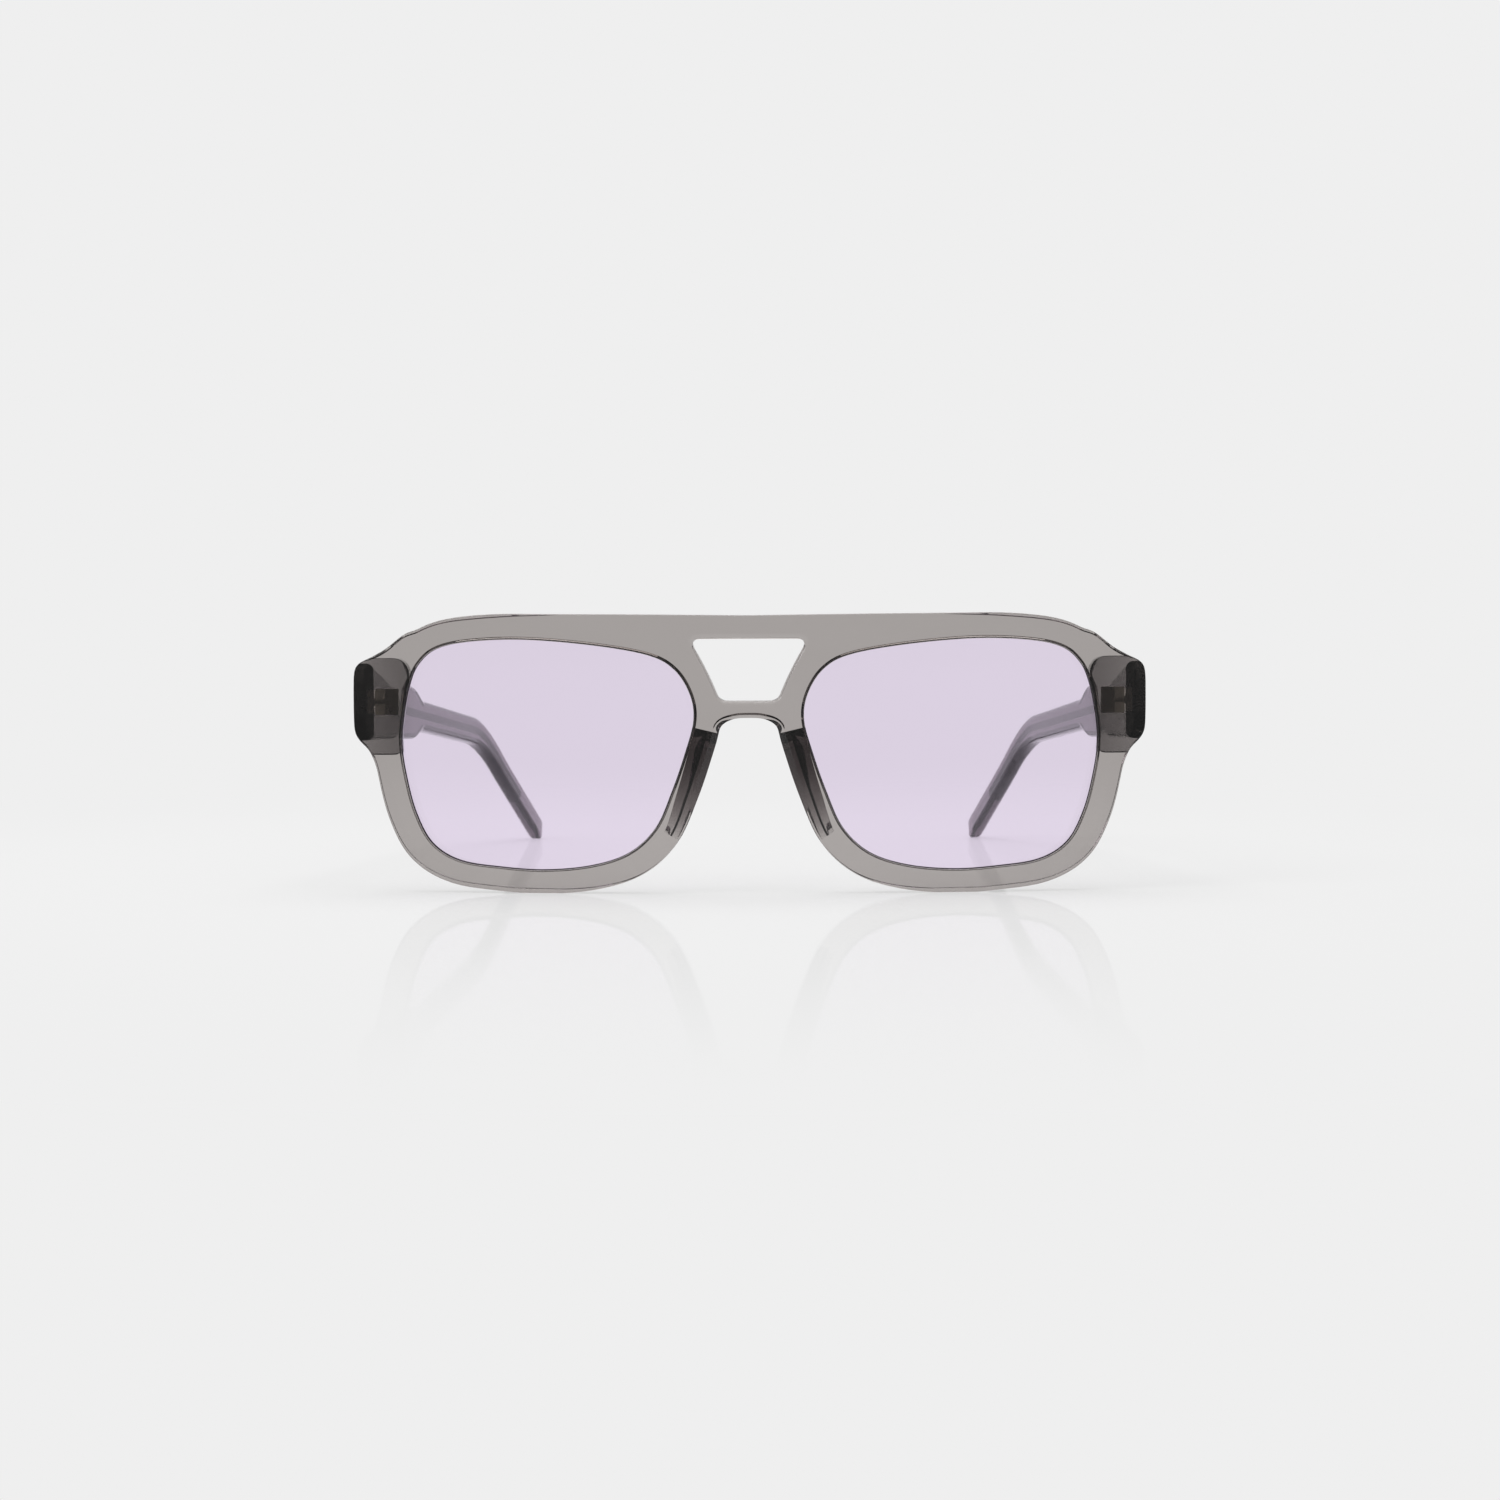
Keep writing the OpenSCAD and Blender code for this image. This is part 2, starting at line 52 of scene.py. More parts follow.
# Driving sizes of the part, in millimetres and degrees
LENS_W, LENS_H, LENS_GAP = 53.6, 41.8, 19.9
LENS_T, LENS_SETBACK = 2.0, 1.2
FRONT_W, FRONT_T, BASE_R = 145.2, 4.6, 330.0
RIM_W, RIM_NOSE_W, RIM_SIDE_W, RIM_BROW_W, FOOT_D = 4.3, 4.9, 5.2, 4.7, 0.1
BROW_H, BROW_DIP = 4.3, 0.4
WINDOW_TOP_W, WINDOW_FOOT_W, WINDOW_BOW = 21.5, 10.4, 0.6
WINDOW_R, WINDOW_FOOT_R, WINDOW_BOW_R = 0.7, 1.5, 60.0
BRIDGE_DROP, BRIDGE_H = 15.8, 3.1
END_DROP, END_H = 8.6, 14.9
BLOCK_T, BLOCK_W, BLOCK_H, BLOCK_LOW, BLOCK_R = 2.1, 10.5, 17.8, 0.8, 3.0
PAD_FOOT, PAD_TOP, PAD_DEPTH, PAD_W, PAD_SPLAY = 9.4, 28.9, 5.6, 4.4, 1.6
PAD_INSET, PAD_PEAK = 0.35, 0.2
PAD_START_DEPTH, PAD_END_DEPTH, PAD_FALL, PAD_FOOT_W = 0.12, 0.01, 1.3, 0.7
TEMPLE_T, TEMPLE_DROP_T, TEMPLE_BUTT_H, TEMPLE_STEP_H = 3.7, 3.2, 14.3, 10.4
TEMPLE_ARM_H, TEMPLE_TIP_H = 6.1, 5.7
STEP_AT, STEP_L, BEND_AT, BEND_L = 31.0, 9.0, 88.0, 22.0
ARM_FALL, DROP_FALL, ARM_LEAN, DROP_LEAN, TIP_ROUND = 5.2, 37.5, 5.5, 19.5, 3.0
LEAN_LEAD, LEAN_TAIL = 6.0, 10.0
BOND_GAP, SEAT_GAP, BUTT_GAP = 0.05, 0.1, 0.15
# How far the hinge leaves stand out of the plastic that they are sunk in
PROUD = 0.03

# Radii of the polished edges
WINDOW_ROUND, WINDOW_BACK_ROUND, RIDGE_ROUND, BONDED_ROUND = 1.0, 0.8, 0.15, 0.08
BLOCK_ROUND, BLOCK_EDGE_ROUND, PAD_ROUND = 1.2, 0.2, 0.6
TEMPLE_ROUND, BUTT_ROUND = 1.4, 0.2
# The lips round a lens: the front one is cut under, the back one leans away to a bevel
LIP_ROUND, LIP_UNDERCUT, LIP_LEAN, LIP_BEVEL = 0.15, 0.16, 0.2, 0.35
# The front's outer edge: a facet slants out from the face down to the ridge, and behind it the heel
# slants in again to a bevel at the back. Heel and bevel fade out towards the middle.
FADE_X, FOOT_SPREAD, TOP_SPREAD, RIDGE_AT = 38.0, 2.0, 10.0, 0.5
HEEL_SPREAD, HEEL_START, TOP_HEEL_START = 22.0, 1.0, 0.4
OUTER_FACET, OUTER_HEEL, SIDE_HEEL, OUTER_BEVEL = 0.06, 0.6, 0.3, 0.12
ARCH_FACET, ARCH_HEEL, ARCH_BEVEL = 0.5, 0.5, 0.35
FLANK_FACET, FLANK_HEEL, FLANK_BEVEL = 1.2, 0.5, 0.9
ARCH_SPREAD, FLANK_SPREAD, BOND_SPREAD, PAD_FOOT_SPREAD = 1.0, 4.0, 2.0, 4.0
# How deep the lenses' grooves show in the polished plastic, and the lenses' ground edges in them
GROOVE_SHOWN, LENS_SHOWN, LENS_BEVEL = 0.3, 0.28, 0.3

# Spacing of the points on the outlines and inside the faces
EDGE_STEP, BLOCK_STEP, FACE_STEP = 0.4, 0.3, 2.5
ARC_STEPS, SPLINE_STEPS, CORNER_STEPS, KINK_PASSES, BLOCK_PASSES = 6, 12, 8, 4, 2
PAD_STEPS, PAD_REACH = 48, 0.03

# The photograph's camera
PHOTO_PX, FOCAL_PX, HORIZON_PX = 1500, 2665.9, 646.0
CAMERA_AWAY, CAMERA_X, CAMERA_Z = 480.0, 4.8, 44.75
CAMERA_YAW, CAMERA_ROLL, SENSOR_W = 0.54, 0.2, 36.0
# How bright the studio looks, and how much less so where the glasses mirror what lies before them
PALE, MIRROR_DIM = 0.863, 0.6


def wrapped_y(x, depth):
    """How far back the wrapped sheet lies, at a depth below its face."""
    return BASE_R - np.sqrt((BASE_R - depth) ** 2 - x * x)


# Heights and places that the driving sizes set
LENS_FOOT_Z = RIM_W - FOOT_D
TOP_Z = LENS_FOOT_Z + LENS_H + RIM_BROW_W
END_X = FRONT_W / 2
END_TOP_Z = TOP_Z - END_DROP
END_FOOT_Z = END_TOP_Z - END_H
HINGE_Z = (END_TOP_Z + END_FOOT_Z) / 2
LENS_OUT_X = LENS_GAP / 2 + LENS_W
BRIDGE_TOP_Z = TOP_Z - BRIDGE_DROP
ARCH_Z = BRIDGE_TOP_Z - BRIDGE_H
BUTT_Y = wrapped_y(END_X, FRONT_T) + BLOCK_T
MID_Y = -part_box("front")[0].y / MM


def mix(a, b, t):
    return a + (b - a) * t


def ease(t):
    k = np.clip(t, 0.0, 1.0)
    return k * k * (3 - 2 * k)


def past(distance, spread):
    """0 before a limit and 1 beyond it, eased over a spread about it."""
    return ease(distance / spread + 0.5)


def unit(v):
    return v / np.linalg.norm(v, axis=-1, keepdims=True)


def spline(a, b, c, d, t):
    return (
        b + (c - a) * t / 2 + (a * 2 - b * 5 + c * 4 - d) * t * t / 2
        + (b * 3 - a - c * 3 + d) * t ** 3 / 2
    )


def smooth_loop(corners):
    p = np.array(corners, float)
    around = [np.roll(p, k, 0) for k in (1, 0, -1, -2)]
    spans = [spline(*around, k / SPLINE_STEPS) for k in range(SPLINE_STEPS)]
    return np.stack(spans, 1).reshape(-1, 2)


def smooth_line(corners):
    p = np.array([corners[0], *corners, corners[-1]], float)
    spans = [spline(p[:-3], p[1:-2], p[2:-1], p[3:], k / SPLINE_STEPS) for k in range(SPLINE_STEPS)]
    return np.concatenate([np.stack(spans, 1).reshape(-1, 2), p[-1:]])


def rounded(corners, radius, steps=ARC_STEPS):
    """Points and outward normals round an anticlockwise outline, with its corners as arcs of one
    radius, or of one for each corner."""
    p = np.array(corners, float)
    along = unit(np.roll(p, -1, 0) - p)
    out = np.stack([along[:, 1], -along[:, 0]], 1)
    points, normals = [], []
    for i, (corner, r) in enumerate(zip(p, np.broadcast_to(radius, len(p)))):
        n0, n1 = out[i - 1], out[i]
        turn = math.atan2(n0[0] * n1[1] - n0[1] * n1[0], n0 @ n1)
        r = math.copysign(r, turn)
        start = math.atan2(n0[1], n0[0])
        centre = corner - (n0 + n1) * r / (1 + n0 @ n1)
        for k in range(steps + 1):
            a = start + turn * k / steps
            normals.append((math.cos(a), math.sin(a)))
            points.append(centre + r * np.array(normals[-1]))
    return np.array(points), np.array(normals)


def inside(points, loop):
    """Which points lie inside a closed outline."""
    x, z = points[:, 0][:, None], points[:, 1][:, None]
    a, b = loop, np.roll(loop, -1, 0)
    spans = (a[:, 1] > z) != (b[:, 1] > z)
    rise = np.where(a[:, 1] == b[:, 1], 1.0, b[:, 1] - a[:, 1])
    return (spans & (x < a[:, 0] + (z - a[:, 1]) * (b[:, 0] - a[:, 0]) / rise)).sum(1) % 2 == 1


def triangulate(loops, loose):
    """Triangles over outlines and loose points: all points, and triples of their numbers."""
    edges, start = [], 0
    for loop in loops:
        n = len(loop)
        edges += [(start + i, start + (i + 1) % n) for i in range(n)]
        start += n
    points = [Vector(p) for p in np.concatenate([*loops, loose])]
    made = delaunay_2d_cdt(points, edges, [], 0, 1e-7)
    return np.array([tuple(v) for v in made[0]]), np.array(made[2])


def length_round(loop):
    return np.linalg.norm(np.roll(loop, -1, 0) - loop, axis=1).sum()


def outlines(shapes, keeps):
    """Outlines of the area that keeps chooses, longest first, with the area on the left of each.
    keeps takes, for each shape, which places lie inside it."""
    points, faces = triangulate(shapes, np.empty((0, 2)))
    centres = points[faces].mean(1)
    chosen = faces[keeps([inside(centres, s) for s in shapes])]
    edges = {(f[k], f[(k + 1) % 3]) for f in chosen.tolist() for k in range(3)}
    follows = {a: b for a, b in sorted(edges) if (b, a) not in edges}
    loops = []
    while follows:
        start = min(follows)
        at, loop = follows.pop(start), [start]
        while at != start:
            loop.append(at)
            at = follows.pop(at)
        loops.append(points[loop])
    return sorted(loops, key=length_round, reverse=True)


def evened(loop, spacing, passes=0):
    """The outline at an even spacing, with its kinks softened over a few neighbours."""
    closed = np.concatenate([loop, loop[:1]])
    run = np.concatenate([[0], np.cumsum(np.linalg.norm(np.diff(closed, axis=0), axis=1))])
    at = np.linspace(0, run[-1], round(run[-1] / spacing), endpoint=False)
    p = np.stack([np.interp(at, run, closed[:, 0]), np.interp(at, run, closed[:, 1])], 1)
    for _ in range(passes):
        p = p / 2 + (np.roll(p, 1, 0) + np.roll(p, -1, 0)) / 4
    return p


class Outline:
    """A closed line with the material on its left, and the way out of it at each point."""

    def __init__(self, points):
        self.points = points
        along = unit(np.roll(points, -1, 0) - np.roll(points, 1, 0))
        self.out = np.stack([along[:, 1], -along[:, 0]], 1)

    def inset(self, distance):
        return self.points - self.out * np.reshape(distance, (-1, 1))


# Lens opening, clockwise from its top, in halves of its width and height from its middle;
# the first number runs from the nose side, -1, to the temple side, 1
LENS_FORM = [
    (0.16, 1), (0.535, 0.984), (0.757, 0.922), (0.88, 0.79), (0.943, 0.61), (0.983, 0.36),
    (1, 0.09), (0.97, -0.19), (0.903, -0.51), (0.79, -0.774), (0.6, -0.922), (0.316, -0.978),
    (0.01, -1), (-0.307, -0.96), (-0.559, -0.85), (-0.737, -0.636), (-0.847, -0.325),
    (-0.936, 0), (-0.998, 0.3), (-0.972, 0.53), (-0.867, 0.74), (-0.688, 0.863), (-0.307, 0.95),
]
lens_loop = (smooth_loop(LENS_FORM) + 1) / 2 * (LENS_W, LENS_H) + (LENS_GAP / 2, LENS_FOOT_Z)
lens_out = -Outline(lens_loop).out
rim_width = (
    RIM_W + (RIM_SIDE_W - RIM_W) * np.maximum(lens_out[:, 0], 0) ** 2
    + (RIM_BROW_W - RIM_W) * np.maximum(lens_out[:, 1], 0) ** 2
    + (RIM_NOSE_W - RIM_W) * np.maximum(-lens_out[:, 0], 0)
)
rim_loop = lens_loop + lens_out * rim_width[:, None]

# Outline of an end piece, from the rim out along its top, down its side and back to the rim
end_form = smooth_line([
    (LENS_OUT_X - 4.2, TOP_Z - 2.6), (LENS_OUT_X - 1.1, TOP_Z - 3.3), (LENS_OUT_X + 1.2, TOP_Z - 4.9),
    (END_X - 6.2, END_TOP_Z + 2.4), (END_X - 3.5, END_TOP_Z + 0.9), (END_X - 1.5, END_TOP_Z),
    (END_X - 0.5, END_TOP_Z - 0.8), (END_X - 0.1, END_TOP_Z - 2.2),
    (END_X, HINGE_Z + 2), (END_X - 0.05, END_FOOT_Z + 3.6), (END_X - 0.35, END_FOOT_Z + 1.6),
    (END_X - 1.3, END_FOOT_Z + 0.2), (END_X - 2.75, END_FOOT_Z - 1.2), (END_X - 3.7, END_FOOT_Z - 3),
    (END_X - 4.7, END_FOOT_Z - 6), (LENS_OUT_X + 3, END_FOOT_Z - 10),
])
# Underside of the bridge, from the rim on one side up to the middle
arch_form = smooth_line([
    (LENS_GAP / 2 - 1.2, ARCH_Z - 8), (LENS_GAP / 2 - 3.5, ARCH_Z - 4.3),
    (LENS_GAP / 2 - 4.4, ARCH_Z - 2.2), (LENS_GAP / 2 - 5.3, ARCH_Z - 1.1),
    (LENS_GAP / 2 - 6.7, ARCH_Z - 0.35), (LENS_GAP / 10, ARCH_Z - 0.05), (0, ARCH_Z),
])
brow_x = LENS_GAP / 2 + LENS_W * 0.585
half_front = [
    rim_loop,
    np.concatenate([end_form, [
        (LENS_OUT_X - BLOCK_W, HINGE_Z - BLOCK_H / 2), (LENS_OUT_X - BLOCK_W, HINGE_Z + BLOCK_H / 3),
    ]]),
    np.concatenate([arch_form, [
        (-1, ARCH_Z), (-1, TOP_Z - BROW_DIP), (0, TOP_Z - BROW_DIP),
        (LENS_GAP / 2 + LENS_W * 0.25, TOP_Z - BROW_DIP * 0.35),
        (brow_x, TOP_Z), (brow_x, HINGE_Z), (LENS_GAP / 2 + 1, ARCH_Z),
    ]]),
]
window_top_z = TOP_Z - BROW_H - BROW_DIP
window_waist = ((WINDOW_TOP_W + WINDOW_FOOT_W) / 4 - WINDOW_BOW, (window_top_z + BRIDGE_TOP_Z) / 2)
window_form = rounded([
    (-WINDOW_FOOT_W / 2, BRIDGE_TOP_Z), (WINDOW_FOOT_W / 2, BRIDGE_TOP_Z), window_waist,
    (WINDOW_TOP_W / 2, window_top_z), (-WINDOW_TOP_W / 2, window_top_z),
    (-window_waist[0], window_waist[1]),
], [WINDOW_FOOT_R, WINDOW_FOOT_R, WINDOW_BOW_R, WINDOW_R, WINDOW_R, WINDOW_BOW_R])[0]
block_form = rounded([
    (END_X - BLOCK_W, -BLOCK_H / 2), (END_X + BLOCK_R * 2, -BLOCK_H / 2),
    (END_X + BLOCK_R * 2, BLOCK_H / 2), (END_X - BLOCK_W, BLOCK_H / 2),
], BLOCK_R)[0] + (0, HINGE_Z - BLOCK_LOW)

front_forms = [half * (side, 1) for half in half_front for side in SIDES.values()]
front_loops = outlines([*front_forms, window_form], lambda rows: np.any(rows[:-1], 0) & ~rows[-1])
front_edge, window_edge = [evened(loop, EDGE_STEP, KINK_PASSES) for loop in front_loops[:2]]
front_edge[:, 1] = np.maximum(front_edge[:, 1], 0)
lens_edge = evened(lens_loop, EDGE_STEP)
lip_edge = Outline(lens_edge[::-1]).inset(-LIP_LEAN - LIP_BEVEL)
block_forms = [front_edge, block_form, lip_edge]
block_edge = outlines(block_forms, lambda rows: rows[0] & rows[1] & ~rows[2])[0]
block_edge = evened(block_edge, BLOCK_STEP, BLOCK_PASSES)


class Wrapped:
    """A layer of the wrapped sheet, at one depth or at a depth for each point of an outline."""

    def __init__(self, depth):
        self.depth = depth

    def places(self, flat):
        return np.stack([flat[:, 0], wrapped_y(flat[:, 0], self.depth), flat[:, 1]], 1)

    def behind(self, flat):
        to_axis = BASE_R - wrapped_y(flat[:, 0], self.depth)
        return unit(np.stack([-flat[:, 0], to_axis, np.zeros(len(flat))], 1))


class Upright:
    """A flat layer square to y, at one distance or at a distance for each point of an outline."""

    def __init__(self, y):
        self.y = y

    def places(self, flat):
        return np.stack([flat[:, 0], np.broadcast_to(self.y, len(flat)), flat[:, 1]], 1)

    def behind(self, flat):
        return np.tile((0.0, 1.0, 0.0), (len(flat), 1))


class Skin:
    """A closed mesh laid row by row, with a normal for each corner of each face."""

    def __init__(self):
        self.points, self.faces, self.normals, self.count = [], [], [], 0

    def row(self, points):
        self.points.append(points)
        self.count += len(points)
        return self.count - len(points)

    def strip(self, a, b, normals_a, normals_b):
        """Quads between the rows that start at points a and b, each a closed ring."""
        n = len(normals_a)
        for i in range(n):
            j = (i + 1) % n
            self.faces.append((a + i, b + i, b + j, a + j))
            self.normals += [normals_a[i], normals_b[i], normals_b[j], normals_a[j]]

    def face(self, corners, normals, flip=False):
        step = -1 if flip else 1
        self.faces.append(tuple(corners)[::step])
        self.normals += list(normals)[::step]

    def piece(self, name, side=1):
        points = (np.concatenate(self.points) - (0, MID_Y, 0)) * (side * MM, MM, MM)
        normals, faces = np.array(self.normals, float), self.faces
        if side < 0:
            ends = np.cumsum([len(f) for f in faces])
            turned = [k for f, end in zip(faces, ends) for k in range(end - 1, end - len(f) - 1, -1)]
            normals = normals[turned] * (-1, 1, 1)
            faces = [f[::-1] for f in faces]
        mesh = bpy.data.meshes.new(name)
        mesh.from_pydata(points.tolist(), [], faces)
        mesh.shade_smooth()
        mesh.normals_split_custom_set(unit(normals).tolist())
        made = bpy.data.objects.new(name, mesh)
        bpy.context.scene.collection.objects.link(made)
        return made


def free_points(loops, spacing):
    """Points at an even spacing between the outlines and clear of them."""
    edge = np.concatenate(loops)
    low, high = edge.min(0), edge.max(0)
    x, z = np.meshgrid(np.arange(low[0], high[0], spacing), np.arange(low[1], high[1], spacing))
    p = np.stack([x.ravel(), z.ravel()], 1)
    p = p[np.sum([inside(p, loop) for loop in loops], 0) % 2 == 1]
    clear = [np.min(np.linalg.norm(edge - q, axis=1)) > spacing * 0.4 for q in p]
    return p[np.array(clear, bool)]


def slab(edges, spacing):
    """A closed slab. Each edge is an outline and its rows, from the front to the back. A row is how
    far inside the outline it lies, its layer, and the angle of the surface before and after it:
    FACING to the front, WALL out of the material, BACKING to the back."""
    skin = Skin()
    rims = {0: [], -1: []}
    for outline, rows in edges:
        wall = np.insert(outline.out, 1, 0, axis=1)
        laid = []
        for inset, layer, before, after in rows:
            flat = outline.inset(inset)
            behind = layer.behind(flat)
            turns = [np.reshape(a, (-1, 1)) for a in (before, after)]
            normals = [unit(wall * np.cos(a) + behind * np.sin(a)) for a in turns]
            laid.append((skin.row(layer.places(flat)), flat, *normals))
        for (a, _, _, after), (b, _, before, _) in zip(laid, laid[1:]):
            skin.strip(a, b, after, before)
        for end in rims:
            rims[end].append(laid[end][:2])
    for end, facing in ((0, -1), (-1, 1)):
        layer = edges[0][1][end][1]
        loops = [flat for _, flat in rims[end]]
        loose = free_points(loops, spacing)
        numbers = [start + np.arange(len(flat)) for start, flat in rims[end]]
        numbers = np.concatenate([*numbers, skin.row(layer.places(loose)) + np.arange(len(loose))])
        flat, faces = triangulate(loops, loose)
        centres = flat[faces].mean(1)
        faces = faces[np.sum([inside(centres, loop) for loop in loops], 0) % 2 == 1]
        normals = layer.behind(flat) * facing
        for f in faces:
            skin.face(numbers[f].tolist(), normals[f], flip=facing > 0)
    return skin


FACING, WALL, BEVEL, BACKING = -math.pi / 2, 0.0, math.pi / 4, math.pi / 2
TURNS = [BACKING * k / ARC_STEPS for k in range(ARC_STEPS + 1)]


def front_round(radius):
    """Rows round the edge from the front face to the wall."""
    turned = [
        (radius * (1 - math.cos(a)), Wrapped(radius * (1 - math.sin(a))), -a, -a)
        for a in reversed(TURNS)
    ]
    return [(radius, Wrapped(0.0), FACING, FACING)] + turned[1:]


def back_round(radius, layer, far):
    """Rows round the edge from the wall to the back, at a distance far, by radii along it."""
    rows = [
        (radius * (1 - math.cos(a)), layer(far - radius * (1 - math.sin(a))), a, a) for a in TURNS
    ]
    return rows[:-1] + [(radius, layer(far), BACKING, BACKING)]


def bonded(points):
    """1 where an end block or a nose pad is bonded behind the front's edge, 0 away from them."""
    x, z = np.abs(points[:, 0]), points[:, 1]
    block = past(x - END_X + BLOCK_W, BOND_SPREAD)
    block *= past(BLOCK_H / 2 - np.abs(z - HINGE_Z + BLOCK_LOW), BOND_SPREAD)
    pad = past(PAD_TOP - z, BOND_SPREAD) * past(z - PAD_FOOT, PAD_FOOT_SPREAD) * (x < LENS_GAP)
    return np.maximum(block, pad)


def ridged_edge(facet, heel, bevel):
    """Rows from the front face down a slanted facet to the ridge, and in to a bevel at the back."""
    slant = np.arctan2(facet, RIDGE_AT - RIDGE_ROUND)
    rows = [(facet + RIDGE_ROUND * np.cos(slant), Wrapped(0.0), FACING, FACING)]
    for k in range(1, ARC_STEPS + 1):
        a = mix(FACING, -slant, k / ARC_STEPS)
        inset = facet + RIDGE_ROUND * (np.cos(slant) - np.cos(a))
        rows.append((inset, Wrapped(RIDGE_ROUND * (1 + np.sin(a))), a, a))
    back = np.arctan2(heel, FRONT_T - bevel - RIDGE_AT)
    for k in range(ARC_STEPS):
        t = k / (ARC_STEPS - 1)
        before = -slant if k == 0 else back
        after = BEVEL if k == ARC_STEPS - 1 else back
        rows.append((heel * t, Wrapped(mix(RIDGE_AT, FRONT_T - bevel, t)), before, after))
    return rows + [(heel + bevel, Wrapped(FRONT_T), BEVEL, BACKING)]


def front_rim(outline):
    """Rows round the front's outer edge, with a wider facet under the bridge, and no heel where an
    end block or a nose pad is bonded on behind it."""
    x, z = np.abs(outline.points[:, 0]), outline.points[:, 1]
    glued = bonded(outline.points)
    upper = z > HINGE_Z
    arch = past(LENS_GAP / 2 - x, ARCH_SPREAD) * ~upper
    flank = ease((x - LENS_GAP / 8) / FLANK_SPREAD)
    lined = ease((x - FADE_X) / np.where(upper, TOP_SPREAD, FOOT_SPREAD))
    leant = ease((x - FADE_X) / HEEL_SPREAD + np.where(upper, TOP_HEEL_START, HEEL_START))
    outer_heel = mix(OUTER_HEEL, SIDE_HEEL, np.abs(outline.out[:, 0])) * leant
    outer_bevel = mix(BONDED_ROUND, OUTER_BEVEL, lined)
    facet = mix(OUTER_FACET, mix(ARCH_FACET, FLANK_FACET, flank), arch)
    heel = mix(outer_heel, mix(ARCH_HEEL, FLANK_HEEL, flank), arch) * (1 - glued)
    bevel = mix(outer_bevel, mix(ARCH_BEVEL, FLANK_BEVEL, flank), arch)
    return ridged_edge(facet, heel, mix(bevel, BONDED_ROUND, glued))


def acetate_front():
    near = LENS_SETBACK - SEAT_GAP
    far = LENS_SETBACK + LENS_T + SEAT_GAP
    outer = Outline(front_edge)
    window = front_round(WINDOW_ROUND) + back_round(WINDOW_BACK_ROUND, Wrapped, FRONT_T)
    edges = [(outer, front_rim(outer)), (Outline(window_edge), window)]
    for side in SIDES.values():
        rows = front_round(LIP_ROUND) + [
            (LIP_UNDERCUT, Wrapped(near), WALL, BACKING),
            (GROOVE_SHOWN, Wrapped(near), BACKING, WALL),
            (GROOVE_SHOWN, Wrapped(far), WALL, FACING),
            (0.0, Wrapped(far), FACING, WALL),
            (LIP_LEAN, Wrapped(FRONT_T - LIP_BEVEL), WALL, BEVEL),
            (LIP_LEAN + LIP_BEVEL, Wrapped(FRONT_T), BEVEL, BACKING),
        ]
        edges.append((Outline((lens_edge * (side, 1))[::side]), rows))
    return slab(edges, FACE_STEP).piece("acetate_front")


def tinted_lens(name, side):
    """A lens whose ground edge, the faces with the second material, stands in its groove; that
    material is dark as painted shade of the groove.
    """
    slant = math.atan2(LENS_SHOWN, LENS_BEVEL)
    rows = [
        (0.0, Wrapped(LENS_SETBACK), FACING, -slant),
        (-LENS_SHOWN, Wrapped(LENS_SETBACK + LENS_BEVEL), -slant, WALL),
        (-LENS_SHOWN, Wrapped(LENS_SETBACK + LENS_T - LENS_BEVEL), WALL, slant),
        (0.0, Wrapped(LENS_SETBACK + LENS_T), slant, BACKING),
    ]
    made = slab([(Outline(lens_edge[::-1]), rows)], FACE_STEP).piece(name, side)
    for face in made.data.polygons[:len(lens_edge) * (len(rows) - 1)]:
        face.material_index = 1
    return made


def end_block(name, side):
    outer = ease((block_edge[:, 0] - END_X + BLOCK_W) / BOND_SPREAD)
    rows = [(0.0, Wrapped(FRONT_T + BOND_GAP), FACING, WALL)]
    rows += back_round(mix(BLOCK_ROUND, BLOCK_EDGE_ROUND, outer), Upright, BUTT_Y - PROUD)
    return slab([(Outline(block_edge), rows)], FACE_STEP / 2).piece(name, side)


def loft(rings, arounds, cap_normals):
    """A closed skin over rings of points, from the ways round each ring and out of its ends."""
    rings, arounds = np.array(rings), np.array(arounds)
    alongs = np.gradient(rings, axis=0)
    normals = unit(np.cross(alongs, arounds))
    skin = Skin()
    starts = [skin.row(ring) for ring in rings]
    for i in range(len(starts) - 1):
        skin.strip(starts[i], starts[i + 1], normals[i], normals[i + 1])
    n = rings.shape[1]
    for start, normal, flip in zip((starts[0], starts[-1]), cap_normals, (False, True)):
        skin.face(range(start, start + n), [normal] * n, flip)
    return skin


# Nose side of the rim: how far out it is at a height
nose_side = rim_loop[lens_out[:, 0] < -0.3]
nose_side = nose_side[np.argsort(nose_side[:, 1])]


def pad_edge(t):
    z = mix(PAD_TOP, PAD_FOOT, t)
    return np.array([np.interp(z, nose_side[:, 1], nose_side[:, 0]), z])


def pad_swell(t):
    """Depth of a pad along its length: a steep rounded top and a long fall to its foot."""
    if t < PAD_PEAK:
        return mix(PAD_START_DEPTH, 1, math.sqrt(1 - (1 - t / PAD_PEAK) ** 2))
    return 1 - (1 - PAD_END_DEPTH) * ((t - PAD_PEAK) / (1 - PAD_PEAK)) ** PAD_FALL


